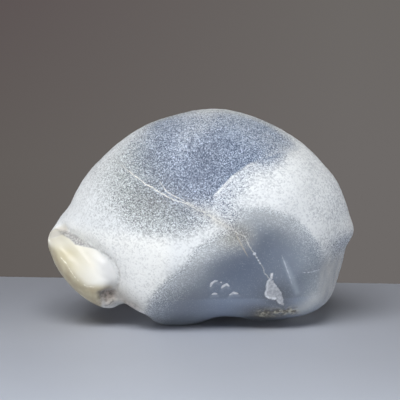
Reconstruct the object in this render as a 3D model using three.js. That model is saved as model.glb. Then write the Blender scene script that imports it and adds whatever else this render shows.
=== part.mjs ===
// A frosted chalcedony nodule, 100 mm wide, standing on its worn feet.
// Millimetres, +Z up, +X to the right and -Y towards the broken side. The origin is the middle of its base.
import * as THREE from 'three';
import { ImprovedNoise } from 'three/addons/math/ImprovedNoise.js';
import { mergeVertices } from 'three/addons/utils/BufferGeometryUtils.js';

// Driving dimensions
const CENTRE = new THREE.Vector3(0, 0, 33);
const FRONT_DEPTH = 33.5;
const BACK_DEPTH = 34;
const ROUNDNESS = 2.3;
// How much shallower the dome gets towards its base and its two ends, and the stretch over which it does
const BASE_NARROWING = [0.28, -26, 4];
const LEFT_NARROWING = [0.2, 14, 52];
const RIGHT_NARROWING = [0.16, 24, 52];
// The outline's fine shape shows from this part of the way out, and fades between these depths
const EDGE_START = 0.72;
const EDGE_FADE = [8, 28];
// Grooves and rises on the front fade out towards the middle over this depth
const RELIEF_FADE = 10;
// Slow and quick unevenness of the worn surface, as height and spacing
const UNEVENNESS = [[0.8, 21], [0.25, 8]];
// The rays that find the surface start on a core between these ends, so that they meet the lobe squarely
const LEFT_CORE = new THREE.Vector3(-29, -2, 21);
const RIGHT_CORE = new THREE.Vector3(24, 0, 31);
const FACE_ROWS = 21;
const ANGLE_STEPS = 720;
const OUTLINE_SAMPLES = 30 * ANGLE_STEPS;
const SOFT_STEPS = 60;
const SEARCH_STEP = 1;
const SEARCH_HALVINGS = 24;
const CLOSE = 1e-5;
// Rounds of evening the triangles, how far each round goes, and the step that measures the slope
const EVEN_ROUNDS = 40;
const EVEN_SHARE = 0.6;
const SLOPE_STEP = 0.02;
const SLOPE_ROUNDS = 3;
// The triangles are smaller about this place, over this reach, by this much pull
const FINER_AT = new THREE.Vector3(-36, -15, 21);
const FINER_REACH = 17;
const FINER_PULL = 2.5;

// The dome's outline seen from the front, as x and z, clockwise from its left end
const OUTLINE = [
  [-47.6, 27.4], [-46.4, 32.6], [-44, 36.6], [-41.4, 43.4], [-37, 50.4], [-30.1, 56.8], [-20.2, 63.8],
  [-8, 68.6], [4, 69.7], [16.4, 67.4], [28, 61.6], [37.5, 54.5], [44, 46], [47.8, 36], [49.4, 30],
  [47, 24.5], [45.2, 15.5], [41.4, 8], [36, 3.4], [22, 2.6], [6, 2.2], [-1.5, -0.8], [-12.6, -1.2],
  [-17.6, 0.6], [-19.8, 4.4], [-24, 7.2], [-32, 11], [-41, 18],
];

const { clamp, degToRad, lerp, smoothstep } = THREE.MathUtils;
const vector = (x, y, z) => new THREE.Vector3(x, y, z);
const noise = new ImprovedNoise();

// The distance from CENTRE to the outline in each of ANGLE_STEPS even steps of the angle from +X
function outlineRadii(points) {
  const curve = new THREE.CatmullRomCurve3(
    points.map(([x, z]) => vector(x - CENTRE.x, 0, z - CENTRE.z)), true, 'centripetal');
  const sums = new Array(ANGLE_STEPS).fill(0);
  const counts = new Array(ANGLE_STEPS).fill(0);
  for (const p of curve.getSpacedPoints(OUTLINE_SAMPLES)) {
    const step = Math.floor(angleStep(Math.atan2(p.z, p.x)));
    sums[step] += Math.hypot(p.x, p.z);
    counts[step] += 1;
  }
  return sums.map((sum, i) => sum / counts[i]);
}

function angleStep(angle) {
  return (angle / (2 * Math.PI) + 1) * ANGLE_STEPS % ANGLE_STEPS;
}

// The same distances, each averaged with those beside it
function softened(radii) {
  return radii.map((_, i) => {
    let sum = 0;
    for (let k = -SOFT_STEPS; k <= SOFT_STEPS; k++) sum += radii[(i + k + ANGLE_STEPS) % ANGLE_STEPS];
    return sum / (2 * SOFT_STEPS + 1);
  });
}

function radiusAt(radii, angle) {
  const at = (angleStep(angle) + ANGLE_STEPS - 0.5) % ANGLE_STEPS;
  const low = Math.floor(at);
  return lerp(radii[low], radii[(low + 1) % ANGLE_STEPS], at - low);
}

const edgeRadii = outlineRadii(OUTLINE);
const softRadii = softened(edgeRadii);

const smoothMin = (a, b, blend) => {
  const h = Math.max(blend - Math.abs(a - b), 0) / blend;
  return Math.min(a, b) - h * h * blend / 4;
};
const smoothMax = (a, b, blend) => -smoothMin(-a, -b, blend);

// The part of the full depth that a narrowing keeps at this place
const kept = ([amount, from, to], at) => 1 - amount * smoothstep(at, from, to);

// Every field below is negative inside its form, and close to a distance in millimetres near the surface.
// The dome's fine outline shows at its edge, and softens towards its front and back.
function domeField(p) {
  const x = p.x - CENTRE.x;
  const z = p.z - CENTRE.z;
  const angle = Math.atan2(z, x);
  const soft = radiusAt(softRadii, angle);
  const out = Math.hypot(x, z);
  const edge = smoothstep(out / soft, EDGE_START, 1) * (1 - smoothstep(Math.abs(p.y), ...EDGE_FADE));
  const across = out / (soft + edge * (radiusAt(edgeRadii, angle) - soft));
  const narrow = kept(BASE_NARROWING, -p.z) * kept(LEFT_NARROWING, -p.x) * kept(RIGHT_NARROWING, p.x);
  const depth = narrow * (p.y < 0 ? FRONT_DEPTH : BACK_DEPTH);
  const through = Math.abs(p.y) / depth;
  return FRONT_DEPTH * ((across ** ROUNDNESS + through ** ROUNDNESS) ** (1 / ROUNDNESS) - 1);
}

// An ellipsoid with its half sizes, turned about Y by an angle in degrees
function ellipsoid(centre, halves, turn = 0) {
  const back = new THREE.Quaternion().setFromAxisAngle(vector(0, 1, 0), -degToRad(turn));
  const middle = vector(...centre);
  const least = Math.min(...halves);
  return (p) => {
    const q = p.clone().sub(middle).applyQuaternion(back);
    return least * (Math.hypot(q.x / halves[0], q.y / halves[1], q.z / halves[2]) - 1);
  };
}

// A flat, with its outward normal and its distance from the stone's centre
function flat(normal, distance) {
  const outward = vector(...normal).normalize();
  return (p) => outward.dot(p.clone().sub(CENTRE)) - distance;
}

// How near p is to a path of x and z drawn on the front, from 1 on it to 0 well away
function nearPath(path, width) {
  return (p) => {
    if (p.y > 0) return 0;
    let least = Infinity;
    for (let i = 1; i < path.length; i++) {
      const [ax, az] = path[i - 1];
      const [bx, bz] = path[i];
      const along = ((p.x - ax) * (bx - ax) + (p.z - az) * (bz - az)) / ((bx - ax) ** 2 + (bz - az) ** 2);
      const t = clamp(along, 0, 1);
      least = Math.min(least, Math.hypot(p.x - ax - t * (bx - ax), p.z - az - t * (bz - az)));
    }
    return Math.exp(-((least / width) ** 2)) * smoothstep(-p.y, 0, RELIEF_FADE);
  };
}

// Flats worn on the dome, lumps that swell from it and hollows broken out of it, each with its blend
const WORN_FLATS = [
  [flat([-0.42, 0.8, 0.43], 31), 6],
  [flat([-0.45, 0.45, -0.8], 30), 5],
];
const foot = ellipsoid([-8, -4, 9], [10, 10, 9.2]);
const leg = ellipsoid([-14.2, -12, 18.4], [14, 15.5, 13.5]);
const heel = ellipsoid([21, 2, 7], [12, 11, 7.6]);
const rearHeel = ellipsoid([-3, 14, 8], [14, 11, 8.6]);
const frontRim = ellipsoid([22, -9, 11], [17.5, 12, 8]);
const lobe = ellipsoid([-38, -8, 17.8], [15.4, 13.5, 6.7], 47);
const lobeRoot = ellipsoid([-34, 6, 20.5], [14, 13, 6.2], 47);
const lobeTip = ellipsoid([-45.7, -5.5, 28], [4, 10, 4], -30);
const LUMPS = [
  [foot, 3], [leg, 5], [heel, 4], [rearHeel, 5], [frontRim, 5], [lobeRoot, 6], [lobe, 1.6], [lobeTip, 2.5],
];
const leftHollow = ellipsoid([6.5, -44, 4], [34, 21, 22], -38);
const rightHollow = ellipsoid([33.5, -42, 10], [18.7, 19.3, 34], -22);
const backHollow = ellipsoid([17, 47, 27], [27, 18, 22], 24);
const arch = ellipsoid([8, -12, -4], [9, 12, 6.3]);
const HOLLOWS = [[leftHollow, 3], [rightHollow, 1.2], [backHollow, 2.5], [arch, 2]];

// Grooves and rises drawn on the front, with how deep each goes
const RELIEF = [
  [nearPath([[-46, 31.5], [-36, 28], [-29.5, 23.5], [-27, 17], [-28, 12]], 2.2), 1.5],
  [nearPath([[28, 60], [20, 58.5], [11, 55.5], [7, 49.5], [2, 42]], 5), 1.1],
  [nearPath([[16, 44], [32, 46], [38, 40]], 9), -1.5],
];

function stoneField(p) {
  let f = domeField(p);
  for (const [height, spacing] of UNEVENNESS) {
    f += height * noise.noise(p.x / spacing, p.y / spacing, p.z / spacing);
  }
  for (const [shape, blend] of WORN_FLATS) f = smoothMax(f, shape(p), blend);
  for (const [shape, blend] of LUMPS) f = smoothMin(f, shape(p), blend);
  for (const [near, depth] of RELIEF) f += depth * near(p);
  for (const [shape, blend] of HOLLOWS) f = smoothMax(f, -shape(p), blend);
  return Math.max(f, -p.z);
}

// Where the ray in this direction starts, on the core from LEFT_CORE through CENTRE to RIGHT_CORE
function coreStart(direction) {
  const end = direction.x < 0 ? LEFT_CORE : RIGHT_CORE;
  return CENTRE.clone().lerp(end, Math.sin(Math.abs(direction.x) * Math.PI / 2));
}

// The first point where the ray in this direction leaves the stone
function surfacePoint(direction) {
  const start = coreStart(direction);
  const p = start.clone();
  let far = 0;
  while (stoneField(p) < 0) {
    far += SEARCH_STEP;
    p.copy(direction).multiplyScalar(far).add(start);
  }
  let near = far - SEARCH_STEP;
  for (let i = 0; i < SEARCH_HALVINGS; i++) {
    const middle = (near + far) / 2;
    p.copy(direction).multiplyScalar(middle).add(start);
    if (stoneField(p) < 0) near = middle;
    else far = middle;
  }
  return p;
}

// The same point moved along the field's slope until it lies on the surface
function toSurface(p) {
  const slope = vector(0, 0, 0);
  for (let i = 0; i < SLOPE_ROUNDS; i++) {
    const f = stoneField(p);
    slope.set(
      stoneField(vector(p.x + SLOPE_STEP, p.y, p.z)) - f,
      stoneField(vector(p.x, p.y + SLOPE_STEP, p.z)) - f,
      stoneField(vector(p.x, p.y, p.z + SLOPE_STEP)) - f,
    ).divideScalar(SLOPE_STEP);
    p.addScaledVector(slope, -f / slope.lengthSq());
  }
  if (Math.abs(p.z) < CLOSE) p.z = 0;
  return p;
}

// The points next to each point
function neighboursOf(index, count) {
  const next = Array.from({ length: count }, () => new Set());
  for (let i = 0; i < index.length; i++) {
    const other = index[i - i % 3 + (i + 1) % 3];
    next[index[i]].add(other);
    next[other].add(index[i]);
  }
  return next.map((set) => [...set]);
}

// How hard a point pulls its neighbours towards itself
function pullOf(p) {
  return 1 + FINER_PULL * Math.exp(-((p.distanceTo(FINER_AT) / FINER_REACH) ** 2));
}

// Every point moved towards the middle of its neighbours and back to the surface, which evens the triangles
function evened(points, index) {
  const next = neighboursOf(index, points.length);
  let even = points;
  for (let round = 0; round < EVEN_ROUNDS; round++) {
    const before = even;
    const pulls = before.map(pullOf);
    even = before.map((p, i) => {
      const middle = vector(0, 0, 0);
      for (const n of next[i]) middle.addScaledVector(before[n], pulls[n]);
      middle.divideScalar(next[i].reduce((sum, n) => sum + pulls[n], 0));
      return toSurface(p.clone().lerp(middle, EVEN_SHARE));
    });
  }
  return even;
}

// A ball of even triangles, pulled out to the stone's surface and centred on the origin
function stoneGeometry() {
  const ball = new THREE.IcosahedronGeometry(1, FACE_ROWS);
  ball.deleteAttribute('normal');
  ball.deleteAttribute('uv');
  const geometry = mergeVertices(ball, CLOSE);
  const position = geometry.attributes.position;
  const points = Array.from({ length: position.count }, (_, i) => (
    surfacePoint(vector(0, 0, 0).fromBufferAttribute(position, i).normalize())
  ));
  evened(points, geometry.index.array).forEach((p, i) => position.setXYZ(i, p.x, p.y, p.z));
  geometry.computeBoundingBox();
  const middle = geometry.boundingBox.getCenter(vector(0, 0, 0));
  geometry.translate(-middle.x, -middle.y, 0);
  geometry.computeVertexNormals();
  return geometry;
}

const stone = new THREE.Mesh(
  stoneGeometry(),
  new THREE.MeshStandardMaterial({ color: 0xc9cfd6, roughness: 0.6, metalness: 0 }),
);
stone.name = 'chalcedony_nodule';
const nodule = new THREE.Group();
nodule.add(stone);
export default nodule;
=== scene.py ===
import math

import bpy
import numpy as np
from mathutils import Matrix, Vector, noise


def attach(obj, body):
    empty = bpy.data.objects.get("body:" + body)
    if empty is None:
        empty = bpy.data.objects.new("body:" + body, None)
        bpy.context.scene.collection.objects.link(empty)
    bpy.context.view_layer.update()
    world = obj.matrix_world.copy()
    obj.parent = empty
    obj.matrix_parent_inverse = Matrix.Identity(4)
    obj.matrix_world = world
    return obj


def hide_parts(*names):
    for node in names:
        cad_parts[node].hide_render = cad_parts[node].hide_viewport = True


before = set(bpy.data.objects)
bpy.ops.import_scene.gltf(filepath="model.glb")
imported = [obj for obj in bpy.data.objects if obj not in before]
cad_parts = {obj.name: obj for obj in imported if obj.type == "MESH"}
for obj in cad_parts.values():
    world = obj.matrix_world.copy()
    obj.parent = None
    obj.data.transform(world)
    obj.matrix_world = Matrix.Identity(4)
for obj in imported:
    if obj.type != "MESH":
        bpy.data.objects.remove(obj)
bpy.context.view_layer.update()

# A chalcedony nodule on a pale table, with its front at -Y. Lengths on the stone are in millimetres,
# and those of the table, the lights and the camera are in metres.
MM = 0.001
NODE = "chalcedony_nodule"

# ---- Where the marks are: x and z as seen from the front, or x, y and z ----

VEIN = [
    (-31, 56.5), (-27.6, 54.8), (-25, 53.4), (-20, 50.4), (-17.6, 48.7), (-15.2, 47.7), (-12.9, 46.3),
    (-10.5, 45), (-8.2, 44.1), (-4.3, 43), (-2, 41.7), (2.7, 39.3), (5, 37.7), (7.4, 36.3), (9.7, 35),
    (12.2, 33.5), (13.4, 33), (15.2, 29.4), (16.6, 27.1), (17.7, 25.1), (18.6, 23.5), (19.7, 21.6),
    (19.9, 20.4), (21.4, 18.5),
]
STRAND = [(-13.2, 50.2), (-12.3, 48.6), (-11, 46.8), (-9, 45.6), (-6.6, 44.5), (-4.3, 43.4), (-2, 42.2)]
SECOND_VEIN = [(8.2, 37), (9.7, 35.3), (10.8, 33.8), (11.7, 31.8), (12.8, 29.8), (14, 27.1), (15, 25.4)]
# The parts of the vein with white frost, a brown edge and a yellow stain beside them
FROSTED_VEIN = VEIN[3:13]
BROWN_VEIN = VEIN[12:17]
STAINED_VEIN = VEIN[9:16]
# White beads on the vein, with their radii
BEADS = [(16.6, 27.1, 0.5), (17.3, 25.8, 0.25), (17.9, 24.8, 0.22), (18.5, 23.7, 0.28)]

# The step where the white part of the dome begins
LEDGE = [
    (1.2, 42.4), (2.1, 43.6), (3.6, 45.4), (4.9, 46.9), (7, 49.1), (9.3, 51.4), (12.3, 53.8), (15, 55.2),
    (18.5, 56.3), (22.7, 57.2), (26.6, 58), (30, 58.6),
]
SHARP_LEDGE = LEDGE[:7]
GREY_DOME = [
    (-17.4, 72), (-21.6, 63.8), (-24.8, 58.4), (-25, 52.4), (-25, 46.4), (-23, 39.5), (-17.6, 36),
    (-11.3, 34.6), (-5.1, 34.8), (-0.6, 38), (1.2, 42.4), (4.9, 46.9), (9.3, 51.4), (15, 55.2), (22.7, 57.2),
    (30, 58.6), (31, 72),
]
LIGHT_STREAK = [(1.2, 67), (-2, 64.6), (-4.3, 61.5), (-7, 57.5)]
DARK_STREAK = [(0.5, 60.5), (4.5, 62)]

# The bare glassy stone in the two hollows
WINDOWS = [
    (-17, -6), (-16.4, 8), (-15, 12.2), (-12.4, 15.6), (-9.2, 18.2), (-6.2, 21), (-3.6, 24), (-1.6, 27.2),
    (1.6, 29.9), (5.2, 32), (8.2, 33.4), (10, 34.8), (11.2, 37.4), (12.7, 40.7), (16, 42.2), (19.8, 42.1),
    (23.5, 41), (27.8, 39), (31.5, 36), (34.6, 32.8), (36.8, 29.4), (38.1, 25.9), (39.6, 22.1), (40.7, 17.5),
    (40.8, 13.2), (40.1, 8.8), (38, -6),
]
CHIP = [
    (21.5, 18.3), (22.8, 17.6), (23.9, 15.7), (25.6, 13.3), (26.1, 11.5), (26.4, 8.5), (24.4, 9.6),
    (23.7, 11), (21.5, 11.4), (20.4, 12.1), (20.2, 13.5), (20.7, 14.2), (20.6, 15.8), (21, 17.3),
]
CHIP_EDGE = [
    (22.4, 20), (22.2, 18.4), (21.1, 17.3), (20.8, 15.8), (20.8, 14.2), (20.4, 13.4), (20.7, 12.2),
    (21.7, 11.6), (23.6, 11.2),
]
CHIP_TIP = [(22, 20.2), (22.6, 19.5), (22.5, 18.4), (21.9, 18.2), (21.7, 19.5)]
WEDGE = [
    (25.8, 24.7), (26, 23.2), (27, 20.7), (28.1, 17.6), (28.9, 14.8), (30.3, 12.4), (31.2, 12.9),
    (30.2, 16.8), (28.6, 20), (27, 23.4),
]
WEDGE_EDGE = [(25.3, 26), (25.9, 24.4), (26.9, 21.8), (28, 18.6), (29.2, 15)]
SCRATCH = [(32.2, 19.8), (35, 19.6), (37.6, 19.9)]
CRESCENTS = [
    [(2.9, 15.6), (3.3, 17), (4.5, 17.8), (5.3, 17.6)],
    [(6, 17.1), (6.5, 17.2)],
    [(6.3, 14.9), (6.9, 15.8), (8, 16.5), (8.9, 15.6)],
    [(3.3, 12.8), (4.2, 13.3), (5.1, 13)],
    [(8.9, 12.5), (10.2, 13.4), (11.8, 13)],
]
# The rough rim under the right hollow, and the pale lip to its right, lightened with painted light where it
# faces down
RIM = [(19.5, 5.6), (22, 5.6), (24.6, 6.1), (27.3, 6.3), (29.6, 6.4)]
RIM_WIDTH = 1.6
LIP = [(31.8, 6.4), (33.8, 7.4), (36.5, 9.8)]
LIP_WIDTH = 2.4

# The cream lobe: an ellipsoid for its back, an outline for its front, and the lines about it
LOBE_MIDDLE = (-37.6, -8.1, 17.8)
LOBE_HALVES = (15.4, 13.5, 6.7)
LOBE_TURN = math.radians(47)
CREAM = [
    (-52, 29.4), (-48, 29.2), (-45, 30.2), (-42.2, 29), (-40.6, 27.6), (-38.6, 27.2), (-35, 26.8),
    (-32.3, 25.5), (-30.3, 24.1), (-28.7, 22.3), (-27.5, 19.6), (-27.3, 16.7), (-28.7, 13.6), (-31.2, 13.1),
    (-32.4, 11.5), (-32, 8.5), (-33.5, 3), (-41, 2), (-52, 14), (-52, 25),
]
LOBE_TOP = [
    (-50, 26), (-46.9, 26.3), (-43.2, 22.3), (-39.6, 18.7), (-36.4, 15.8), (-33.3, 15.6), (-26, 14),
    (-24, 24), (-40, 34), (-52, 34),
]
# The lobe's ridge line, where a painted highlight is drawn
LOBE_LINE = [
    (-45, 23.9), (-43.2, 22.4), (-41.8, 20.2), (-40.4, 18.1), (-38.6, 16.2), (-36.4, 14.9), (-33.9, 14.7),
]
LOBE_RIDGE = [
    (-46.9, -16.6, 26.3), (-43.2, -19.9, 22.3), (-39.6, -21.3, 18.7), (-36.4, -21.4, 15.8),
    (-33.3, -20.5, 15.6),
]
LOBE_TIP = (-47, -9, 30)
LOBE_END = (-29, -18.5, 10.5)
GROOVE = [
    (-47, -6, 31.6), (-43.5, -9.6, 31.4), (-40, -14.4, 30.2), (-36.6, -17.1, 28.3), (-33.3, -19.1, 26.4),
]
SEAM = [
    (-33.3, -19.1, 26.4), (-30, -22.2, 25.3), (-27.7, -23.4, 23.2), (-26.1, -23.6, 20.4),
    (-25.9, -21.4, 17.4), (-26.7, -18.4, 14.9), (-28.8, -15.7, 11.5),
]
# The grey band in the groove over the lobe: grey stone, darkened as painted shade
GROOVE_SHADE_OUTLINE = [
    (-47, 31.4), (-43.5, 31.3), (-40, 30.2), (-36.6, 28.3), (-33.6, 26.5), (-36, 26.8), (-38.9, 27),
    (-40.6, 27.2), (-42, 28.4), (-44.6, 29.6),
]
PIT = [(-32.6, 12.6), (-30.2, 13.2), (-28.4, 12.2), (-28.2, 10.6), (-30, 9.8), (-32.4, 10.4)]
NECK = [(-27.8, 12), (-25, 11.2), (-22, 9.4)]
NUBS = (-30, -16.5, 9)
NUBS_REACH = 3.4

# Soft spots on the front: the middle's x and z, the half width and the half height
GLASS_DEEP = (14.5, 21, 8, 11)
BROWN_DOME = (-14, 43, 11, 5)
STAIN = (10.5, 33, 5.5, 4.5)
# Smoky grey along the hollow's lower edge, darkened further as painted shade where the stone turns under
SMOKY_RIM_AND_SHADE = (20, 5, 7.6, 4.6)
SMOKY_HOLLOW = (24, 11, 6, 6.5)
WHITE_SPECKS = (18.5, 34, 5, 4)
SWELL = (-16, 10, 10, 9)
DARK_BY_LEDGE = (4, 50, 7, 6)
# The same, each with the share of frost that it adds
COVER_SPOTS = [
    ((15, 63.5, 9, 4.5), 0.16),
    ((2, 68.5, 10, 4), -0.14),
    ((-5, 54, 10, 7), -0.06),
    ((-29, 47, 8, 12), -0.38),
    ((7, 38, 8, 4), -0.4),
    ((-20.5, 34, 7, 4), -0.14),
    ((14, 44.5, 5, 4), -0.15),
]

# ---- The relief: heights in millimetres, outwards, beside how wide each form is ----

# Spacing, height and seed of the skin's unevenness, and how much of it the glassy stone and the lobe lose
SKIN = [(2.6, 0.1, 1), (1.1, 0.05, 2)]
GLASS_SMOOTHNESS = 0.85
LOBE_SMOOTHNESS = 0.8
LINES_OF_LOBE = [(GROOVE, 1, -0.4), (SEAM, 0.8, -0.25), (LOBE_RIDGE, 1.4, 0.1)]
PIT_HEIGHT = -1.3
NUBS_HEIGHT = 0.45
LEDGE_HEIGHT = -0.45
# The ledge falls away slowly on the grey side and quickly on the white one
LEDGE_WIDTHS = (3.5, 0.5)
VEIN_HEIGHT = 0.07
STRAND_HEIGHT = 0.05
THREAD_WIDTH = 0.3
CHIP_HEIGHT = -0.3
CHIP_ROUGHNESS = 0.16
CHIP_TIP_HEIGHT = -0.2
CRESCENT_HEIGHT = -0.3
CRESCENT_WIDTHS = (0.7, 0.22)
HOLLOW = (-20.5, -10, 5)
HOLLOW_REACH = 5
HOLLOW_HEIGHT = -1.3
SWELL_HEIGHT = 1.1
RIM_ROUGHNESS = 0.25

# How far one seed's noise lies from the next one's
SEED_STEP = 31.7
# The front's marks fade in between these distances ahead of the stone's middle
FRONT_FADE = (2, 9)
# Nearer the middle than this, no triangle is made finer for the front's marks
FINE_FRONT = 8

# Marks that need finer triangles, and how far about them
FINE_ON_FRONT = [
    (VEIN, 0.8), (STRAND, 0.8), (SHARP_LEDGE, 1), (WEDGE_EDGE, 0.7), (SCRATCH, 0.7),
    *[(crescent, 1.1) for crescent in CRESCENTS],
]
FINE_ABOUT_LOBE = [(GROOVE, 2), (SEAM, 1.4), (LOBE_RIDGE, 0.9)]
FINE_ABOUT_CHIP = 0.8


# ---- Triangles ----


def welded(mesh):
    """The mesh's points, each once, and its triangles."""
    points = np.empty(len(mesh.vertices) * 3)
    mesh.vertices.foreach_get("co", points)
    corners = np.empty(len(mesh.loops), np.int64)
    mesh.loops.foreach_get("vertex_index", corners)
    points = points.reshape(-1, 3) / MM
    _, first, again = np.unique(points.round(3), axis=0, return_index=True, return_inverse=True)
    return points[first], again.reshape(-1)[corners].reshape(-1, 3)


def edges_of(faces):
    """Every edge once, and which edges run from each triangle's first, second and third corner."""
    sides = np.sort(np.stack([faces, np.roll(faces, -1, axis=1)], axis=2).reshape(-1, 2), axis=1)
    edges, edge = np.unique(sides, axis=0, return_inverse=True)
    return edges, edge.reshape(-1, 3)


def gathered(size, places, values):
    """The sum of the values that go to each place."""
    return np.stack([np.bincount(places, values[:, k], size) for k in range(values.shape[1])], axis=1)


def smoothly_split(points, faces):
    """Loop's rule: four triangles for each one, on a smoother surface."""
    edges, edge = edges_of(faces)
    far = points[np.roll(faces, 1, axis=1).reshape(-1)]
    middles = (3 * points[edges].sum(axis=1) + gathered(len(edges), edge.reshape(-1), far)) / 8
    ring = gathered(len(points), edges.reshape(-1), points[edges[:, ::-1].reshape(-1)])
    count = np.bincount(edges.reshape(-1), minlength=len(points))
    share = np.where(count > 3, 3 / (8 * count), 3 / 16)[:, None]
    kept = points * (1 - count[:, None] * share) + ring * share
    middle = edge + len(points)
    corners = [np.stack([faces[:, k], middle[:, k], middle[:, k - 1]], axis=1) for k in range(3)]
    return np.concatenate([kept, middles]), np.concatenate(corners + [middle])


def finely_split(points, faces, wanted):
    """Splits the wanted triangles in four, and those beside them so that no gap opens."""
    edges, edge = edges_of(faces)
    marked = np.zeros(len(edges), bool)
    marked[edge[wanted(points[faces].mean(axis=1))]] = True
    # A triangle with two split sides has its third one split too
    while (marked[edge].sum(axis=1) == 2).any():
        marked[edge[marked[edge].sum(axis=1) == 2]] = True
    # Each split side's middle is a new point, with this number
    number = np.cumsum(marked) - 1 + len(points)
    sides = marked[edge]
    whole, four = ~sides.any(axis=1), sides.all(axis=1)
    two = ~whole & ~four
    middle = number[edge[four]]
    quarters = [np.stack([faces[four, k], middle[:, k], middle[:, k - 1]], axis=1) for k in range(3)]
    # A triangle with one split side, from a to b, is cut in two between that side's middle and c
    first = np.argmax(sides[two], axis=1)
    a, b, c = (np.take_along_axis(faces[two], (first[:, None] + k) % 3, axis=1)[:, 0] for k in range(3))
    m = number[np.take_along_axis(edge[two], first[:, None], axis=1)[:, 0]]
    halves = [np.stack([a, m, c], axis=1), np.stack([m, b, c], axis=1)]
    points = np.concatenate([points, points[edges[marked]].mean(axis=1)])
    return points, np.concatenate([faces[whole], middle] + quarters + halves)


def normals_of(points, faces):
    """The outward direction at each point."""
    a, b, c = (points[faces[:, k]] for k in range(3))
    across = np.cross(b - a, c - a)
    total = gathered(len(points), faces.T.reshape(-1), np.tile(across, (3, 1)))
    return total / np.linalg.norm(total, axis=1, keepdims=True)


# ---- Measures on the stone ----


def smoothstep(low, high, value):
    """The value carried smoothly from low..high to 0..1."""
    t = np.clip((value - low) / (high - low), 0, 1)
    return t * t * (3 - 2 * t)


def bump(distance, width):
    """1 where the distance is 0, falling smoothly to 0."""
    return np.exp(-((distance / width) ** 2))


def unevenness(points, spacing, seed):
    """Smooth noise from about -1 to 1, with lumps of this spacing."""
    moved = points / spacing + SEED_STEP * seed
    return np.array([noise.noise(Vector(p)) for p in moved])


def seen(points):
    """The points as x and z, as they are seen from the front."""
    return points[:, [0, 2]]


def front(points):
    """1 on the front of the stone, fading to 0 at its middle."""
    return smoothstep(*FRONT_FADE, -points[:, 1])


def hidden(points):
    """A distance that keeps the marks of the front off the back."""
    return 5 * (1 - front(points))


def from_path(points, path):
    """Each point's distance from a path, its side of a flat path as -1 or 1, and how far along it lies."""
    path = np.array(path, float)
    least = np.full(len(points), np.inf)
    side = np.ones(len(points))
    place = np.zeros(len(points))
    before = 0.0
    for a, b in zip(path[:-1], path[1:]):
        step = b - a
        length = np.linalg.norm(step)
        t = np.clip((points - a) @ step / length**2, 0, 1)
        away = points - a - t[:, None] * step
        distance = np.linalg.norm(away, axis=1)
        closer = distance < least
        least[closer] = distance[closer]
        place[closer] = (before + t * length)[closer]
        if path.shape[1] == 2:
            side[closer] = np.where(step[0] * away[:, 1] - step[1] * away[:, 0] < 0, -1.0, 1.0)[closer]
        before += length
    return least, side, place


def beside(points, path, width):
    """1 on a path, falling smoothly to 0 beside it."""
    return bump(from_path(points, path)[0], width)


def about(points, middle, reach):
    """1 at a place in the stone, falling smoothly to 0 about it."""
    return bump(np.linalg.norm(points - np.array(middle), axis=1), reach)


def spot(flat, place):
    """1 in the middle of a soft spot, falling smoothly to 0 around it."""
    x, z, half_width, half_height = place
    return bump(np.hypot((flat[:, 0] - x) / half_width, (flat[:, 1] - z) / half_height), 1)


def stretch(place, start, end):
    """1 along the middle of a path: it rises over one pair of places on it, and falls over another."""
    return smoothstep(*start, place) * (1 - smoothstep(*end, place))


def taper(path, place):
    """0 at both ends of a path and 1 in its middle, as in a half circle."""
    length = np.linalg.norm(np.diff(np.array(path, float), axis=0), axis=1).sum()
    t = place / length
    return np.sqrt(np.clip(4 * t * (1 - t), 0, 1))


def inside(points, outline):
    """How far each point is inside a closed outline, negative outside it."""
    least, _, _ = from_path(points, outline + outline[:1])
    odd = np.zeros(len(points), bool)
    for (ax, az), (bx, bz) in zip(outline, outline[1:] + outline[:1]):
        spans = (az > points[:, 1]) != (bz > points[:, 1])
        cross = ax + (points[:, 1] - az) * (bx - ax) / (bz - az if bz != az else 1)
        odd ^= spans & (points[:, 0] < cross)
    return np.where(odd, least, -least)


def lobe_mask(points):
    """1 on the cream lobe, 0 on the rest, with an edge half a millimetre wide."""
    c, s = math.cos(LOBE_TURN), math.sin(LOBE_TURN)
    x, y, z = (points - np.array(LOBE_MIDDLE)).T
    long, deep, high = LOBE_HALVES
    reach = np.sqrt(((c * x - s * z) / long) ** 2 + (y / deep) ** 2 + ((s * x + c * z) / high) ** 2)
    behind = high * (1.1 - reach)
    ahead = inside(seen(points), CREAM)
    within = np.where(points[:, 1] < LOBE_MIDDLE[1], ahead, np.minimum(behind, ahead + 2))
    return smoothstep(-0.25, 0.25, within)


def pit_mask(points, low, high):
    """1 in the pit under the lobe's end, rising between these distances inside its outline."""
    return smoothstep(low, high, inside(seen(points), PIT)) * smoothstep(-8, -12, points[:, 1])


# ---- Relief ----


def near_marks(points):
    """The triangles that carry fine relief, and so are split finer."""
    flat = seen(points)
    close = (inside(flat, CHIP) > -FINE_ABOUT_CHIP) | (inside(flat, CHIP_TIP) > -FINE_ABOUT_CHIP)
    for path, reach in FINE_ON_FRONT:
        close |= from_path(flat, path)[0] < reach
    close &= points[:, 1] < -FINE_FRONT
    for path, reach in FINE_ABOUT_LOBE:
        close |= from_path(points, path)[0] < reach
    return close


def skin_relief(points):
    """The unevenness of the frosted skin, the pit and the nubs."""
    polished = smoothstep(0, 2.5, inside(seen(points), WINDOWS)) * front(points)
    out = sum(height * unevenness(points, spacing, seed) for spacing, height, seed in SKIN)
    out *= (1 - GLASS_SMOOTHNESS * polished) * (1 - LOBE_SMOOTHNESS * lobe_mask(points))
    for path, width, height in LINES_OF_LOBE:
        out += height * beside(points, path, width)
    out += PIT_HEIGHT * pit_mask(points, -1.2, 0.6)
    return out + NUBS_HEIGHT * about(points, NUBS, NUBS_REACH) * unevenness(points, 1.7, 3)


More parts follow.
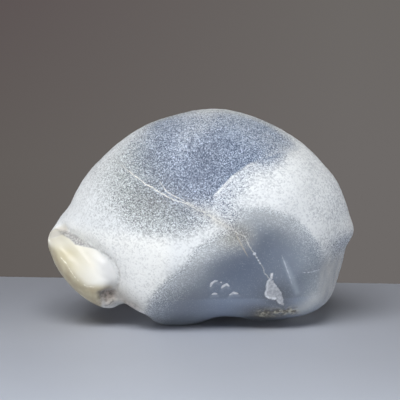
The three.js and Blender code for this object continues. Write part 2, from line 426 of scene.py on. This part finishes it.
def vein_relief(flat):
    """The step along the ledge and the raised threads."""
    distance, side, place = from_path(flat, LEDGE)
    step = np.where(side > 0, bump(distance, LEDGE_WIDTHS[0]), bump(distance, LEDGE_WIDTHS[1]))
    out = LEDGE_HEIGHT * stretch(place, (0, 6), (24, 40)) * step
    distance, _, place = from_path(flat, VEIN)
    out += VEIN_HEIGHT * bump(distance, THREAD_WIDTH) * smoothstep(0, 6, place)
    return out + STRAND_HEIGHT * beside(flat, STRAND, THREAD_WIDTH)


def blow_relief(points):
    """The chip, the crescents and the rough rim."""
    flat = seen(points)
    rough = CHIP_ROUGHNESS * unevenness(points, 0.9, 5)
    out = smoothstep(-0.25, 0.2, inside(flat, CHIP)) * (rough + CHIP_HEIGHT)
    out += CHIP_TIP_HEIGHT * smoothstep(-0.2, 0.15, inside(flat, CHIP_TIP))
    for path in CRESCENTS:
        distance, side, _ = from_path(flat, path)
        slow, quick = (bump(distance, width) for width in CRESCENT_WIDTHS)
        out += CRESCENT_HEIGHT * np.where(side < 0, slow, quick)
    return out + beside(flat, RIM, RIM_WIDTH) * RIM_ROUGHNESS * unevenness(points, 1.3, 8)


def relief(points):
    """How far each point moves out of the stone."""
    flat = seen(points)
    on_front = vein_relief(flat) + blow_relief(points) + SWELL_HEIGHT * spot(flat, SWELL)
    broad = HOLLOW_HEIGHT * about(points, HOLLOW, HOLLOW_REACH)
    return skin_relief(points) + front(points) * on_front + broad


# ---- Masks: what the material reads at each point, each with its name ----


def ledge_cover(flat):
    """How much frost the ledge adds, and how soft the grey part's edge is."""
    distance, side, place = from_path(flat, LEDGE)
    on_grey, on_white = side > 0, side < 0
    firm = bump(distance, 6) * smoothstep(-2, 2, place)
    crisp = firm * stretch(place, (1, 5), (18, 28))
    bright_edge = on_white * crisp * bump(distance, 0.7)
    shade = on_white * stretch(place, (-1, 4), (24, 35)) * smoothstep(12, 0, distance)
    dark_edge = on_grey * stretch(place, (5, 12), (21, 27)) * bump(distance, 4.5)
    dark_spot = on_grey * spot(flat, DARK_BY_LEDGE)
    added = 0.35 * bright_edge - 0.44 * shade - 0.2 * dark_edge - 0.22 * dark_spot
    return added, 6.5 - 3 * firm - 3 * crisp


def dome_cover(points):
    """The frost over the dome and the boss: nearly none in the grey part, full on the white."""
    flat = seen(points)
    x, z = flat.T
    added, soft = ledge_cover(flat)
    grey = inside(flat, GREY_DOME)
    edge = smoothstep(-soft, 0.9 * soft, grey)
    middle = smoothstep(2, 9, grey)
    top = smoothstep(55, 65, z)
    boss = smoothstep(31, 35, x) * smoothstep(33, 37, z)
    cover = 1 + added - 0.8 * edge - 0.3 * middle + 0.2 * top - 0.13 * boss
    cover += 0.12 * beside(flat, FROSTED_VEIN, 3)
    cover += 0.24 * beside(flat, LIGHT_STREAK, 4) - 0.16 * beside(flat, DARK_STREAK, 3.5)
    for place, share in COVER_SPOTS:
        cover += share * spot(flat, place)
    return 0.15 + 0.85 * cover


def frost_cover(points):
    """How much of the stone is covered by white frost: 1 is nearly all, 0 and less is none."""
    flat = seen(points)
    x, z = flat.T
    around = 0.78 + 0.34 * unevenness(points, 20, 4) + 0.12 * unevenness(points, 7, 6)
    wavy_depth = points[:, 1] + 9 * unevenness(points, 14, 9) + 0.25 * (z - 30)
    ahead = smoothstep(18, -3, wavy_depth)
    cover = around + ahead * (dome_cover(points) + 0.05 * unevenness(points, 9, 7) - around)
    thin_right = 0.1 * smoothstep(38, 44, x) + 0.3 * smoothstep(36, 25, z)
    cover -= ahead * smoothstep(34, 40, x) * thin_right
    window = inside(flat, WINDOWS)
    left = smoothstep(16, 8, x)
    bare = smoothstep(-1.4 - 1.8 * left, 2.8 - 0.7 * left, window) + 0.7 * smoothstep(2, 9, window)
    return cover - front(points) * bare


def stone_masks(points):
    """The frost and the tones of the stone under it."""
    flat = seen(points)
    x, z = flat.T
    facing = front(points)
    distance, side, _ = from_path(flat, VEIN)
    under_vein = smoothstep(-1, 4, -side * distance) * (z > 30)
    blue = smoothstep(-28, -4, x + 0.5 * (z - 52)) * (1 - 0.55 * under_vein)
    return {
        "frost": frost_cover(points),
        "blue": blue * facing + 0.5 * (1 - facing),
        # Painted light: the frost is whiter at the low left of the front, to make up for the shade it gets
        # there
        "white": facing * smoothstep(-7, -13, x) * smoothstep(36, 30, z),
        "azure": facing * smoothstep(0, 14, x) * smoothstep(34, 42, z),
        "brown": facing * np.maximum(0.8 * spot(flat, BROWN_DOME), beside(flat, BROWN_VEIN, 2)),
        "stain": facing * np.maximum(spot(flat, STAIN), beside(flat, STAINED_VEIN, 1.6)),
        "specks": facing * spot(flat, WHITE_SPECKS),
    }


def glass_masks(points):
    """The glassy stone in the hollows, its tones, among them painted light, shade and reflection, and its
    right end.
    """
    flat = seen(points)
    x, z = flat.T
    facing = front(points)
    return {
        "window": inside(flat, WINDOWS) * facing - hidden(points),
        # Painted light: the glassy stone is lighter towards the hollow's right wall
        "pale": facing * smoothstep(24, 42, x) * (1 - 0.5 * smoothstep(26, 16, z)),
        "foot": facing * smoothstep(8, -7, x) * smoothstep(20, 12, z),
        "deep": facing * spot(flat, GLASS_DEEP),
        # Painted reflection: the glassy stone is lighter below this height, where the table shows in it
        "painted_reflection_low": facing * smoothstep(11.7, 11, z),
        # smoky tint by the chip, and smoky grey with painted shade along the lower edge
        "smoky_and_painted_shade": facing * np.maximum(spot(flat, SMOKY_RIM_AND_SHADE), 0.6 * spot(flat, SMOKY_HOLLOW)),
        "rim": facing * beside(flat, RIM, RIM_WIDTH),
        # the pale lip, lightened as painted light
        "pale_lip_and_painted_light": facing * beside(flat, LIP, LIP_WIDTH),
        "strip": facing * smoothstep(36.5, 39.5, x) * smoothstep(27, 20, z) * smoothstep(4, 10, z),
    }


def vein_masks(points):
    """The signed distances from the threads, and how strong each thread is along its path."""
    flat = seen(points)
    facing = front(points)
    vein, vein_side, vein_place = from_path(flat, VEIN)
    strand, strand_side, strand_place = from_path(flat, STRAND)
    second, second_side, second_place = from_path(flat, SECOND_VEIN)
    beads = [radius - np.hypot(flat[:, 0] - x, flat[:, 1] - z) for x, z, radius in BEADS]
    return {
        "vein": vein * vein_side,
        "vein_power": facing * smoothstep(2, 12, vein_place) * (1 - 0.45 * smoothstep(27, 33, vein_place)),
        "strand": strand * strand_side,
        "strand_power": 0.9 * facing * smoothstep(0, 1.5, strand_place),
        "second": second * second_side,
        "second_power": facing * stretch(second_place, (3, 5), (11, 13.5)),
        "beads": np.max(beads, axis=0) - hidden(points),
    }


def lobe_masks(points):
    """The cream lobe, with its painted highlight and light, and the marks and painted shade where it meets
    the stone.
    """
    flat = seen(points)
    x, z = flat.T
    facing = front(points)
    neck = from_path(flat, NECK)[0]
    under_neck = facing * bump(neck, 3) * smoothstep(11.5, 9, z)
    from_end = np.linalg.norm(points - np.array(LOBE_END), axis=1)
    from_tip = np.linalg.norm(points - np.array(LOBE_TIP), axis=1)
    return {
        "lobe": lobe_mask(points),
        "lobe_left": smoothstep(-33, -45, x) * (0.4 + 0.6 * smoothstep(28.5, 25, z)),
        # the lobe's whiter right end, partly painted light
        "lobe_right_and_painted_light": smoothstep(-37, -29, x),
        "lobe_low": smoothstep(0.8, -1.8, inside(flat, LOBE_TOP)),
        # the painted highlight along the lobe's ridge
        "lobe_ridge_highlight": from_path(flat, LOBE_LINE)[0] + hidden(points),
        # Painted shade: grey under the lobe's end and along the neck below it
        "shade_under_lobe_end": facing * np.maximum(smoothstep(4.6, 2, from_end), 1.5 * bump(neck, 3.6)),
        "tip": smoothstep(5, 3, from_tip),
        # the groove's grey band, partly painted shade
        "band": smoothstep(-0.5, 0.6, inside(flat, GROOVE_SHADE_OUTLINE)) * smoothstep(0, -4, points[:, 1]),
        # the seam beside the lobe: a grey crack, partly painted shade
        "seam": beside(points, SEAM, 0.7),
        "pit": pit_mask(points, -1.6, 0.8),
        "nubs": np.maximum(about(points, NUBS, NUBS_REACH), 0.7 * under_neck),
    }


def blow_masks(points):
    """The chip, the wedge, the scratch and the crescents."""
    flat = seen(points)
    facing = front(points)
    behind = hidden(points)
    wedge_edge, _, wedge_place = from_path(flat, WEDGE_EDGE)
    tapered, bruises = [], []
    for path in CRESCENTS:
        distance, side, place = from_path(flat, path)
        tapered.append(distance / (0.3 + 0.7 * taper(path, place)))
        bruises.append(smoothstep(1.6, 0.2, distance) * (side < 0))
    return {
        "chip": np.maximum(inside(flat, CHIP), inside(flat, CHIP_TIP)) * facing - behind,
        "chip_edge": from_path(flat, CHIP_EDGE)[0] + behind,
        "wedge": inside(flat, WEDGE) * facing - behind,
        "wedge_edge": wedge_edge / (0.2 + 0.8 * taper(WEDGE_EDGE, wedge_place)) + behind,
        "scratch": from_path(flat, SCRATCH)[0] + behind,
        # the crescents' lines, drawn white: partly the marks' own white, partly painted highlight
        "crescents": np.min(tapered, axis=0) + behind,
        "bruise": facing * np.max(bruises, axis=0),
    }


def stone_mesh(name):
    """The stone's mesh, with the masks that its material reads."""
    points, faces = welded(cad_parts[NODE].data)
    for _ in range(2):
        points, faces = smoothly_split(points, faces)
    points, faces = finely_split(points, faces, near_marks)
    moved = points + relief(points)[:, None] * normals_of(points, faces)
    moved[:, 2] = np.maximum(moved[:, 2], 0)
    mesh = bpy.data.meshes.new(name)
    mesh.from_pydata((moved * MM).tolist(), [], faces.tolist())
    mesh.shade_smooth()
    for masks in (stone_masks, glass_masks, vein_masks, lobe_masks, blow_masks):
        for mask, values in masks(points).items():
            layer = mesh.attributes.new(mask, "FLOAT", "POINT")
            layer.data.foreach_set("value", values.astype(np.float32))
    return mesh


# ---- Colours, as on a screen, from 0 to 255 ----

GREY_BODY = (112, 118, 123)
BLUE_BODIES = (80, 91, 112), (92, 103, 124)
AZURE_BODY = (76, 91, 116)
BROWN_BODY = (114, 112, 113)
GLASS_EDGE = (176, 181, 185)
GLASS = (129, 140, 156)
GLASS_VEIL = (150, 159, 174)
# Tones over the glassy stone, in order: the mask, how strong it is, and its colour
GLASS_TONES = [
    ("deep", 0.75, (115, 127, 147)),
    # the painted reflection of the table, low on the glassy stone
    ("painted_reflection_low", 0.36, (166, 180, 204)),
    ("foot", 0.7, (127, 133, 141)),
    # painted light on the hollow's right wall
    ("pale", 1.0, (135, 148, 165)),
    ("stain", 0.7, (148, 147, 138)),
    ("brown", 0.7, (118, 117, 118)),
    # smoky grey, partly painted shade along the hollow's lower edge
    ("smoky_and_painted_shade", 1.0, (84, 83, 80)),
]
THIN_FROST = (224, 232, 233)
BLUE_THIN_FROST = (211, 224, 243)
AZURE_THIN_FROST = (203, 219, 242)
EDGE_FROST = (222, 228, 232)
THICK_FROST = (238, 242, 244)
# Painted light: the whiter frost at the low left of the front
PAINTED_LIGHT_FROST = (250, 252, 250)
STAINED_FROST = (213, 210, 200)
SPECKS = (206, 214, 222)
LOBE_TIP_GREY = (216, 213, 204)
# The groove's greys, partly painted shade
GROOVE_GREYS_AND_SHADE = (138, 137, 137), (188, 187, 185)
# The seam's grey, partly painted shade
SEAM_GREY_AND_SHADE = (152, 150, 148)
CREAM_WHITE = (238, 237, 230)
CREAM_YELLOW = (206, 199, 170)
CREAM_CLOUD = (230, 223, 200)
# The lobe's right end: whiter cream, partly painted light
CREAM_RIGHT_AND_PAINTED_LIGHT = (253, 254, 251)
# Painted highlight along the lobe's ridge
CREAM_RIDGE_HIGHLIGHT = (250, 247, 230)
TANS = (194, 182, 153), (211, 203, 175)
# Painted shade under the lobe's end and along the neck
SHADE_UNDER_LOBE_END = (163, 157, 147)
NUB_TONES = (112, 99, 90), (212, 203, 193)
PIT_TONES = (98, 88, 82), (166, 154, 146)
STREAK_TONES = (162, 167, 174), (196, 197, 196)
CHIP_TONES = (172, 177, 185), (206, 209, 214)
BRIGHT_MARK = (232, 236, 242)
WEDGE_TONE = (176, 186, 198)
WEDGE_EDGE_TONE = (200, 207, 216)
BRUISE = (186, 194, 208)
# The crescents' white, partly painted highlight on their rims
CRESCENT_WHITE_AND_HIGHLIGHT = (248, 250, 254)
# The lip's pale tone, lightened as painted light
LIP_WHITE_AND_PAINTED_LIGHT = (214, 217, 216)
RIM_TONES = (104, 98, 84), (208, 204, 186)
# The threads: the mask, the width, how broken it is, and the colour
THREADS = [
    ("vein", 0.34, 0.5, (236, 236, 230)),
    ("strand", 0.26, 0.6, (234, 234, 230)),
    ("second", 0.3, 0.5, (190, 184, 172)),
]
# The table's tones from near to far are a painted falloff of the light
TABLE_NEAR = (224, 233, 248)
TABLE_MIDDLE = (186, 191, 202)
TABLE_FAR = (168, 172, 182)
TABLE_CLOUD = (172, 177, 187)
# The wall from left to right, low and high
WALL_LOW = (99, 94, 91), (110, 106, 104)
WALL_HIGH = (92, 83, 83), (107, 103, 100)
CEILING = (0, 0, 0)

# The grains of frost in millimetres: fine where it is thin, coarse where it is thick
FINE_GRAIN = 0.2
COARSE_GRAIN = 0.5
# The share of coarse grains, and the grains' contrast, in the same order
COARSE_SHARES = (0.1, 0.75)
CONTRASTS = (2.05, 0.58)
GRAIN_HEIGHT = 0.12
# Gloss and scattering, first for the frost and then for the glassy stone and the lobe
ROUGHNESSES = (0.8, 0.34)
SCATTERING = (0.05, 0.4)
SCATTER_DISTANCE = 1.6
REFRACTION = 1.53
TABLE_ROUGHNESS = 0.55


# ---- Materials ----


def tone(colour):
    """A screen colour as Blender's linear one."""
    shares = [value / 255 for value in colour]
    linear = [v / 12.92 if v <= 0.04045 else ((v + 0.055) / 1.055) ** 2.4 for v in shares]
    return (*linear, 1)


class Shader:
    """Short calls that add nodes to a material or a world. Colours are screen colours or sockets."""

    def __init__(self, tree):
        self.tree = tree
        self.coordinates = self.add("ShaderNodeTexCoord").outputs

    def add(self, kind, settings=None, **inputs):
        made = self.tree.nodes.new(kind)
        for name, value in (settings or {}).items():
            setattr(made, name, value)
        for name, value in inputs.items():
            self.put(value, made.inputs[name.replace("_", " ")])
        return made

    def put(self, value, socket):
        if isinstance(value, bpy.types.NodeSocket):
            self.tree.links.new(value, socket)
        else:
            socket.default_value = value

    def mask(self, name, strength=1.0):
        """A mask of the stone, made weaker by its strength."""
        values = self.add("ShaderNodeAttribute", {"attribute_name": name}).outputs["Fac"]
        return values if strength == 1.0 else self.math("MULTIPLY", values, strength)

    def math(self, operation, a, b=0.0):
        made = self.add("ShaderNodeMath", {"operation": operation})
        self.put(a, made.inputs[0])
        self.put(b, made.inputs[1])
        return made.outputs[0]

    def ramp(self, value, low, high, to_low=0.0, to_high=1.0, kind="SMOOTHSTEP"):
        """The value carried smoothly from low..high to to_low..to_high."""
        made = self.add("ShaderNodeMapRange", {"interpolation_type": kind})
        for socket, number in zip(made.inputs, (value, low, high, to_low, to_high)):
            self.put(number, socket)
        return made.outputs[0]

    def mix(self, factor, a, b):
        """Colour a where the factor is 0, and b where it is 1."""
        made = self.add("ShaderNodeMix", {"data_type": "RGBA"})
        self.put(factor, made.inputs[0])
        for colour, socket in ((a, made.inputs[6]), (b, made.inputs[7])):
            self.put(tone(colour) if isinstance(colour, tuple) else colour, socket)
        return made.outputs[2]

    def noise(self, size, detail=2.0, roughness=0.5, place=None):
        """Noise with lumps of this size in millimetres, about 0.5 on average."""
        made = self.add("ShaderNodeTexNoise", Scale=1 / (size * MM), Detail=detail, Roughness=roughness)
        self.put(self.coordinates["Object"] if place is None else place, made.inputs["Vector"])
        return made.outputs["Fac"]

    def grains(self, size):
        """A random number from 0 to 1 for each grain of this size in millimetres."""
        made = self.add("ShaderNodeTexVoronoi", Vector=self.coordinates["Object"], Scale=1 / (size * MM))
        return self.add("ShaderNodeSeparateColor", Color=made.outputs["Color"]).outputs[0]

    def uneven(self, value, size, amount):
        """The value, moved up and down by noise with lumps of this size."""
        wave = self.math("SUBTRACT", self.noise(size, 3), 0.5)
        return self.math("ADD", value, self.math("MULTIPLY", wave, amount))

    def mottled(self, tones, low, high, *noise):
        """The first tone where the noise is low, and the second where it is high."""
        return self.mix(self.ramp(self.noise(*noise), low, high), *tones)

    def thread(self, distance, width, gaps):
        """1 on a thread this many millimetres wide, broken up as much as gaps says."""
        away = self.math("ABSOLUTE", distance)
        whole = self.ramp(away, width * 0.3, width * 0.7, 1.0, 0.0)
        return self.math("MULTIPLY", whole, self.ramp(self.noise(1.3), 0.35, 0.6, 1.0 - gaps, 1.0))

    def drawn(self, base, mask, waver, width, gaps, colour):
        """A line over the base. The waver is the size and the amount of its bends."""
        return self.mix(self.thread(self.uneven(self.mask(mask), *waver), width, gaps), base, colour)


def new_material(name):
    material = bpy.data.materials.new(name)
    material.use_nodes = True
    return material, Shader(material.node_tree), material.node_tree.nodes["Principled BSDF"]


def body_colour(s):
    """The stone under the frost: blue-grey, greyer at the left and browner beside the vein."""
    body = s.mix(s.mask("blue"), GREY_BODY, s.mottled(BLUE_BODIES, 0.35, 0.65, 12, 3, 0.55))
    body = s.mix(s.mask("azure"), body, AZURE_BODY)
    return s.mix(s.mask("brown", 0.7), body, BROWN_BODY)


def glass_colour(s):
    """The glassy stone in the hollows, cloudy and with its tones."""
    glass = s.mix(s.ramp(s.mask("window"), 0.0, 13.0), GLASS_EDGE, GLASS)
    glass = s.mix(s.ramp(s.noise(7, 3), 0.4, 0.75, 0.0, 0.25), glass, GLASS_VEIL)
    for mask, strength, colour in GLASS_TONES:
        glass = s.mix(s.mask(mask, strength), glass, colour)
    return glass


def frost_colour(s, cover):
    """The frost, thin and bluish over the grey, thick and white elsewhere."""
    thin = s.mix(s.mask("blue"), THIN_FROST, BLUE_THIN_FROST)
    thin = s.mix(s.mask("azure", 0.8), thin, AZURE_THIN_FROST)
    thin = s.mix(s.ramp(s.mask("window"), -7.0, -1.0), thin, EDGE_FROST)
    # The white mask is painted light at the low left of the front
    thick = s.mix(s.mask("white"), THICK_FROST, PAINTED_LIGHT_FROST)
    frost = s.mix(s.ramp(cover, 0.1, 0.9), thin, thick)
    return s.mix(s.mask("stain", 0.5), frost, STAINED_FROST)


def with_groove(s, base, grain):
    """The smooth tip, the grey band over the lobe, which is grey stone darkened as painted shade in the
    groove, and the seam beside it, grey and partly painted shade.
    """
    base = s.mix(s.mask("tip"), base, LOBE_TIP_GREY)
    base = s.mix(s.mask("band", 0.85), base, s.mix(s.ramp(grain, 0.3, 0.8), *GROOVE_GREYS_AND_SHADE))
    # The seam: a grey crack, darkened partly as painted shade
    seam = s.math("MULTIPLY", s.mask("seam"), s.ramp(s.noise(1.4, 3), 0.38, 0.6, 0.04, 0.42))
    return s.mix(seam, base, SEAM_GREY_AND_SHADE)


def with_lobe(s, base, lobe):
    """Cream on the lobe, yellower at its left and tan below, with a painted highlight along its ridge,
    painted light on its whiter right end, and painted shade and the rough stone under its end.
    """
    cream = s.mix(s.mask("lobe_left"), CREAM_WHITE, CREAM_YELLOW)
    cream = s.mix(s.ramp(s.noise(8, 3), 0.45, 0.75, 0.0, 0.25), cream, CREAM_CLOUD)
    # Whiter at the lobe's right end, partly painted light
    cream = s.mix(s.mask("lobe_right_and_painted_light"), cream, CREAM_RIGHT_AND_PAINTED_LIGHT)
    cream = s.mix(s.mask("lobe_low"), cream, s.mottled(TANS, 0.35, 0.65, 4, 3))
    # A painted highlight along the lobe's ridge
    cream = s.drawn(cream, "lobe_ridge_highlight", (1.2, 0.5), 0.28, 0.8, CREAM_RIDGE_HIGHLIGHT)
    base = s.mix(lobe, base, cream)
    # Painted shade under the lobe's end and along the neck
    base = s.mix(s.mask("shade_under_lobe_end", 0.45), base, SHADE_UNDER_LOBE_END)
    base = s.mix(s.mask("nubs", 0.7), base, s.mottled(NUB_TONES, 0.4, 0.6, 1.2, 3))
    return s.mix(s.mask("pit", 0.75), base, s.mottled(PIT_TONES, 0.4, 0.6, 1.6, 3))


def with_streaks(s, base):
    """Upright cloudy streaks at the right."""
    upright = s.add("ShaderNodeVectorMath", {"operation": "MULTIPLY"})
    s.put(s.coordinates["Object"], upright.inputs[0])
    s.put((1, 1, 0.2), upright.inputs[1])
    streaks = s.mottled(STREAK_TONES, 0.3, 0.7, 2.6, 2, 0.5, upright.outputs[0])
    return s.mix(s.mask("strip", 0.8), base, streaks)


def with_threads(s, base):
    """The thread veins, each as strong as its own mask says."""
    for name, width, gaps, colour in THREADS:
        thread = s.thread(s.uneven(s.mask(name), 1.4, 0.7), width, gaps)
        base = s.mix(s.math("MULTIPLY", thread, s.mask(name + "_power")), base, colour)
    return base


def with_blows(s, base, chip):
    """The marks of blows in the hollows, and the rough rim under them."""
    base = s.mix(chip, base, s.mottled(CHIP_TONES, 0.35, 0.65, 0.8, 4, 0.6))
    base = s.drawn(base, "chip_edge", (0.8, 0.5), 0.7, 0.6, BRIGHT_MARK)
    base = s.mix(s.ramp(s.uneven(s.mask("beads"), 0.6, 0.4), -0.15, 0.1), base, BRIGHT_MARK)
    base = s.mix(s.ramp(s.uneven(s.mask("wedge"), 2, 0.8), -0.9, 0.9, 0.0, 0.6), base, WEDGE_TONE)
    base = s.drawn(base, "wedge_edge", (0.9, 0.4), 0.36, 0.8, WEDGE_EDGE_TONE)
    base = s.drawn(base, "scratch", (0.7, 0.6), 0.28, 0.9, BRIGHT_MARK)
    base = s.mix(s.mask("bruise", 0.22), base, BRUISE)
    # White crescents, partly painted highlight on their rims
    base = s.drawn(base, "crescents", (0.7, 0.4), 0.85, 0.35, CRESCENT_WHITE_AND_HIGHLIGHT)
    # The pale lip, partly painted light
    base = s.mix(s.mask("pale_lip_and_painted_light", 0.7), base, LIP_WHITE_AND_PAINTED_LIGHT)
    patches = s.ramp(s.noise(2, 3), 0.36, 0.54, 0.15, 0.95)
    return s.mix(s.math("MULTIPLY", s.mask("rim"), patches), base, s.mottled(RIM_TONES, 0.42, 0.6, 1.2, 3))


def finish(s, principled, grain, smooth):
    """Gloss, scattering and the grains' height: smooth is 1 on the glassy stone and the lobe."""
    s.put(s.uneven(s.ramp(smooth, 0.0, 1.0, *ROUGHNESSES), 1.5, 0.14), principled.inputs["Roughness"])
    s.put(s.ramp(smooth, 0.0, 1.0, *SCATTERING), principled.inputs["Subsurface Weight"])
    s.put((1.0, 1.0, 1.0), principled.inputs["Subsurface Radius"])
    s.put(SCATTER_DISTANCE * MM, principled.inputs["Subsurface Scale"])
    s.put(REFRACTION, principled.inputs["IOR"])
    matte = s.math("SUBTRACT", 1.0, smooth)
    height = s.math("MULTIPLY", grain, s.math("ADD", s.math("MULTIPLY", matte, 0.9), 0.04))
    bumps = s.add("ShaderNodeBump", Strength=0.5, Distance=GRAIN_HEIGHT * MM, Height=height)
    s.put(bumps.outputs["Normal"], principled.inputs["Normal"])


def frost_grains(s, cover):
    """A number for each grain, the same for coarse grains alone, and where frost covers the stone."""
    heavy = s.ramp(cover, 0.45, 1.0)
    fine, coarse = s.grains(FINE_GRAIN), s.grains(COARSE_GRAIN)
    coarseness = s.ramp(heavy, 0.0, 1.0, *COARSE_SHARES)
    grain = s.add("ShaderNodeMix", {"data_type": "FLOAT"}, Factor=coarseness, A=fine, B=coarse).outputs[0]
    contrast = s.ramp(heavy, 0.0, 1.0, *CONTRASTS)
    spread = s.math("MULTIPLY", s.math("SUBTRACT", grain, 0.5), contrast)
    speckle = s.add("ShaderNodeClamp", Value=s.math("ADD", cover, spread)).outputs[0]
    return grain, coarse, speckle


def stone_material():
    """Frost in grains over blue-grey stone, glassy in the hollows, with the lobe and the marks on top."""
    material, s, principled = new_material("frosted chalcedony")
    cover = s.uneven(s.mask("frost"), 5, 0.16)
    grain, coarse, speckle = frost_grains(s, cover)
    clear = s.ramp(s.mask("window"), -2.5, 1.0)
    flecks = s.math("MULTIPLY", s.mask("specks"), s.ramp(coarse, 0.9, 0.95, 0.0, 0.45))
    chip = s.ramp(s.uneven(s.mask("chip"), 0.7, 1.0), -0.1, 0.15)
    lobe = s.mask("lobe")

    base = s.mix(clear, body_colour(s), glass_colour(s))
    base = s.mix(speckle, base, frost_colour(s, cover))
    base = s.mix(s.math("MULTIPLY", flecks, clear), base, SPECKS)
    base = with_groove(s, base, grain)
    base = with_lobe(s, base, lobe)
    base = with_streaks(s, base)
    base = with_threads(s, base)
    base = with_blows(s, base, chip)
    s.put(base, principled.inputs["Base Color"])

    polished = s.math("MULTIPLY", clear, s.math("SUBTRACT", 1.0, s.math("MULTIPLY", chip, 0.8)))
    finish(s, principled, grain, s.math("MAXIMUM", polished, lobe))
    return material


def table_material():
    """Pale, and darker towards the far edge, where Y is 0: painted falloff of the light."""
    material, s, principled = new_material("pale table")
    away = s.add("ShaderNodeSeparateXYZ", Vector=s.coordinates["Object"]).outputs["Y"]
    far = s.mix(s.ramp(away, -0.12, 0.0), TABLE_MIDDLE, TABLE_FAR)
    shade = s.mix(s.ramp(away, -0.3, -0.1), TABLE_NEAR, far)
    shade = s.mix(s.ramp(s.noise(40, 3), 0.3, 0.7, 0.0, 0.07), shade, TABLE_CLOUD)
    s.put(shade, principled.inputs["Base Color"])
    s.put(TABLE_ROUGHNESS, principled.inputs["Roughness"])
    return material


def backdrop():
    """A plain wall far behind, as the world's colour: warm grey, under a dark ceiling.

    The ramps run over the direction of view, whose Z is 0 at eye level.
    """
    world = bpy.data.worlds.new("backdrop")
    world.use_nodes = True
    s = Shader(world.node_tree)
    direction = s.add("ShaderNodeSeparateXYZ", Vector=s.coordinates["Generated"]).outputs
    across = s.ramp(direction["X"], -0.11, 0.08, kind="LINEAR")
    up = s.ramp(direction["Z"], -0.11, 0.0, kind="LINEAR")
    overhead = s.ramp(direction["Z"], 0.18, 0.45, 0.0, 0.9, kind="LINEAR")
    wall = s.mix(up, s.mix(across, *WALL_LOW), s.mix(across, *WALL_HIGH))
    s.put(s.mix(overhead, wall, CEILING), world.node_tree.nodes["Background"].inputs["Color"])
    bpy.context.scene.world = world


# ---- The stone ----

stone = bpy.data.objects.new("nodule", stone_mesh("nodule"))
bpy.context.scene.collection.objects.link(stone)
stone.data.materials.append(stone_material())
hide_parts(NODE)
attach(stone, "root")

# ---- Table, light and camera, in metres ----

# The table's top is at z = 0, and its far edge runs a little askew behind the stone
EDGE_MIDDLE = Vector((0, 0.0745, 0))
EDGE_TURN = math.radians(-5.9)
HALF_WIDTH = 1.6
LENGTH = 1.3
THICKNESS = 0.02

# Each light's name, place, size and watts
LIGHTS = [
    ("overhead", (-0.12, -0.52, 0.7), (0.7, 0.42), 6.9),
    ("low front", (-0.25, -1.7, 0.04), (0.6, 0.07), 2.1),
    ("low left", (-1.25, -1.2, 0.04), (0.6, 0.07), 2.3),
    ("left side", (-1.8, -0.76, 0.14), (0.95, 0.26), 4.2),
    ("right side", (1.65, -0.66, 0.5), (0.95, 0.8), 5.6),
    ("back left", (-1.1, 1.4, 0.04), (0.6, 0.07), 2.2),
    ("back right", (1.1, 1.4, 0.04), (0.6, 0.07), 3.6),
]
LIT_POINT = Vector((0, 0, 0.03))

LOOK_AT = Vector((0, 0, 0.035))
DISTANCE = 0.6
ELEVATION = math.radians(8)
VIEW_WIDTH = 0.1316
IMAGE_WIDTH = 400
# How far the lens is shifted, in pixels of a picture of that width
SHIFT = (-1.3, 15)


def linked(name, data, location):
    made = bpy.data.objects.new(name, data)
    made.location = location
    bpy.context.scene.collection.objects.link(made)
    return made


def aimed(made, direction):
    """Turns a light or a camera, which look along their own -Z, to this direction."""
    made.rotation_euler = direction.to_track_quat("-Z", "Y").to_euler()
    return made


def table():
    rim = ((-HALF_WIDTH, -LENGTH), (HALF_WIDTH, -LENGTH), (HALF_WIDTH, 0), (-HALF_WIDTH, 0))
    corners = [(x, y, z) for z in (-THICKNESS, 0) for x, y in rim]
    sides = [(3, 2, 1, 0), (4, 5, 6, 7)] + [(k, (k + 1) % 4, (k + 1) % 4 + 4, k + 4) for k in range(4)]
    mesh = bpy.data.meshes.new("table")
    mesh.from_pydata(corners, [], sides)
    mesh.materials.append(table_material())
    made = linked("table", mesh, EDGE_MIDDLE)
    made.rotation_euler = (0, 0, EDGE_TURN)


def soft_light(name, location, size, watts):
    data = bpy.data.lights.new(name, "AREA")
    data.shape = "RECTANGLE"
    data.size, data.size_y = size
    data.energy = watts
    aimed(linked(name, data, location), LIT_POINT - Vector(location))


def camera():
    lens = bpy.data.cameras.new("camera")
    lens.lens = lens.sensor_width * DISTANCE / VIEW_WIDTH
    lens.shift_x, lens.shift_y = (pixels / IMAGE_WIDTH for pixels in SHIFT)
    back = Vector((0, -math.cos(ELEVATION), math.sin(ELEVATION)))
    return aimed(linked("camera", lens, LOOK_AT + back * DISTANCE), -back)


table()
backdrop()
for light in LIGHTS:
    soft_light(*light)
bpy.context.scene.camera = camera()
bpy.context.scene.view_settings.view_transform = "Standard"
